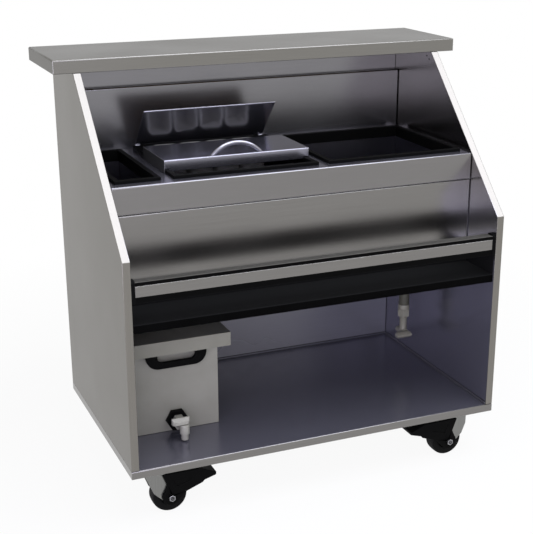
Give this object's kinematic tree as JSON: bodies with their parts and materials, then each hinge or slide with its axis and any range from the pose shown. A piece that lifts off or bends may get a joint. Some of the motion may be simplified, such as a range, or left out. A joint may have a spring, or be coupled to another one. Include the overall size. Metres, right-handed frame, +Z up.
{
  "type": "mobile bar unit",
  "caption": "Stainless mobile bar cabinet on braked casters, with a bar top, sunken ice wells, a sliding cover, a hinged condiment lid, a speed rail and a waste tank with a tap.",
  "frame": {"origin": "on the floor, under the middle of the unit's outline", "axes": "+X to the right of the bartender, +Y to the guests, +Z up"},
  "size_m": [1.219, 0.71, 1.194],
  "materials": {
    "stainless_sheet": "satin",
    "core_board": "plain board",
    "foam": "foamed in place",
    "zinc_steel": "zinc plated",
    "black_plastic": "moulded",
    "black_painted_sheet": "satin black",
    "pan_plastic": "moulded",
    "tank_plastic": "moulded",
    "tap_plastic": "moulded",
    "pipe_plastic": "extruded",
    "seal_rubber": "matt",
    "wheel_rubber": "matt"
  },
  "bodies": {
    "unit": {"bar_top": "stainless_sheet", "left_side_panel": "stainless_sheet", "right_side_panel": "stainless_sheet", "guest_panel": "stainless_sheet", "upper_back_panel": "stainless_sheet", "lower_back_panel": "stainless_sheet", "base_pan": "stainless_sheet", "work_deck": "stainless_sheet", "splash_panel": "stainless_sheet", "bin_front_panel": "stainless_sheet", "bin_bottom_panel": "stainless_sheet", "left_well_tub": "stainless_sheet", "middle_bin_tub": "stainless_sheet", "right_bin_tub": "stainless_sheet", "rail_strip": "stainless_sheet", "bar_top_core": "core_board", "bin_insulation": "foam", "base_rails": "zinc_steel", "lid_hinge_pin": "zinc_steel", "caster_plates": "zinc_steel", "caster_bolts": "zinc_steel", "left_well_rim": "black_plastic", "middle_bin_rim": "black_plastic", "right_bin_rim": "black_plastic", "condiment_holder": "black_plastic", "rail_bar": "black_plastic", "rail_end_caps": "black_plastic", "bottle_tray": "black_painted_sheet", "condiment_pans": "pan_plastic", "drain_tap": "tap_plastic", "drain_bush": "tap_plastic", "drain_pipe": "pipe_plastic"},
    "condiment_lid": {"condiment_lid": "stainless_sheet"},
    "ice_cover": {"ice_cover": "stainless_sheet", "ice_cover_handle": "stainless_sheet"},
    "waste_tank": {"waste_tank": "tank_plastic", "tank_handle": "black_plastic", "tank_fitting": "black_plastic", "tank_fitting_nut": "black_plastic", "tank_gasket": "seal_rubber", "tank_tap": "tap_plastic"},
    "tank_lid": {"tank_lid": "tank_plastic"},
    "tank_tap_lever": {"tank_tap_lever": "tap_plastic"},
    "drain_tap_lever": {"drain_tap_lever": "tap_plastic"},
    "front_left_caster": {"front_left_fork": "zinc_steel", "front_left_axle": "zinc_steel"},
    "front_left_wheel": {"front_left_wheel": "wheel_rubber"},
    "front_left_brake": {"front_left_brake": "black_plastic"},
    "front_right_caster": {"front_right_fork": "zinc_steel", "front_right_axle": "zinc_steel"},
    "front_right_wheel": {"front_right_wheel": "wheel_rubber"},
    "front_right_brake": {"front_right_brake": "black_plastic"},
    "rear_left_caster": {"rear_left_fork": "zinc_steel", "rear_left_axle": "zinc_steel"},
    "rear_left_wheel": {"rear_left_wheel": "wheel_rubber"},
    "rear_right_caster": {"rear_right_fork": "zinc_steel", "rear_right_axle": "zinc_steel"},
    "rear_right_wheel": {"rear_right_wheel": "wheel_rubber"}
  },
  "joints": [
    {"name": "condiment_lid_hinge", "type": "hinge", "parent": "unit", "child": "condiment_lid", "pos_m": [-0.145, 0.208, 0.915], "axis": [-1, 0, 0], "range_deg": [-37.5, 55]},
    {"name": "ice_cover_slide", "type": "slide", "parent": "unit", "child": "ice_cover", "axis": [0, -1, 0], "range_m": [0, 0.058]},
    {"name": "waste_tank_slide", "type": "slide", "parent": "unit", "child": "waste_tank", "axis": [0, -1, 0], "range_m": [0, 0.2]},
    {"name": "tank_lid_lift", "type": "slide", "parent": "waste_tank", "child": "tank_lid", "axis": [0, 0, 1], "range_m": [0, 0.06]},
    {"name": "tank_tap_turn", "type": "hinge", "parent": "waste_tank", "child": "tank_tap_lever", "pos_m": [-0.366, -0.23, 0.2048], "axis": [0, 0, 1], "range_deg": [0, 90]},
    {"name": "drain_tap_turn", "type": "hinge", "parent": "unit", "child": "drain_tap_lever", "pos_m": [0.456, 0.021, 0.281], "axis": [0, -1, 0], "range_deg": [0, 90]},
    {"name": "front_left_swivel", "type": "hinge", "parent": "unit", "child": "front_left_caster", "pos_m": [-0.47, -0.282, 0.126], "axis": [0, 0, 1], "continuous": true},
    {"name": "front_left_roll", "type": "hinge", "parent": "front_left_caster", "child": "front_left_wheel", "pos_m": [-0.4375, -0.282, 0.05], "axis": [0, 1, 0], "continuous": true},
    {"name": "front_left_brake_pedal", "type": "hinge", "parent": "front_left_caster", "child": "front_left_brake", "pos_m": [-0.4375, -0.282, 0.05], "axis": [0, -1, 0], "range_deg": [0, 8]},
    {"name": "front_right_swivel", "type": "hinge", "parent": "unit", "child": "front_right_caster", "pos_m": [0.47, -0.282, 0.126], "axis": [0, 0, 1], "continuous": true},
    {"name": "front_right_roll", "type": "hinge", "parent": "front_right_caster", "child": "front_right_wheel", "pos_m": [0.4375, -0.282, 0.05], "axis": [0, 1, 0], "continuous": true},
    {"name": "front_right_brake_pedal", "type": "hinge", "parent": "front_right_caster", "child": "front_right_brake", "pos_m": [0.4375, -0.282, 0.05], "axis": [0, 1, 0], "range_deg": [0, 8]},
    {"name": "rear_left_swivel", "type": "hinge", "parent": "unit", "child": "rear_left_caster", "pos_m": [-0.47, 0.224, 0.126], "axis": [0, 0, 1], "continuous": true},
    {"name": "rear_left_roll", "type": "hinge", "parent": "rear_left_caster", "child": "rear_left_wheel", "pos_m": [-0.4375, 0.224, 0.05], "axis": [0, 1, 0], "continuous": true},
    {"name": "rear_right_swivel", "type": "hinge", "parent": "unit", "child": "rear_right_caster", "pos_m": [0.47, 0.224, 0.126], "axis": [0, 0, 1], "continuous": true},
    {"name": "rear_right_roll", "type": "hinge", "parent": "rear_right_caster", "child": "rear_right_wheel", "pos_m": [0.4375, 0.224, 0.05], "axis": [0, 1, 0], "continuous": true}
  ]
}
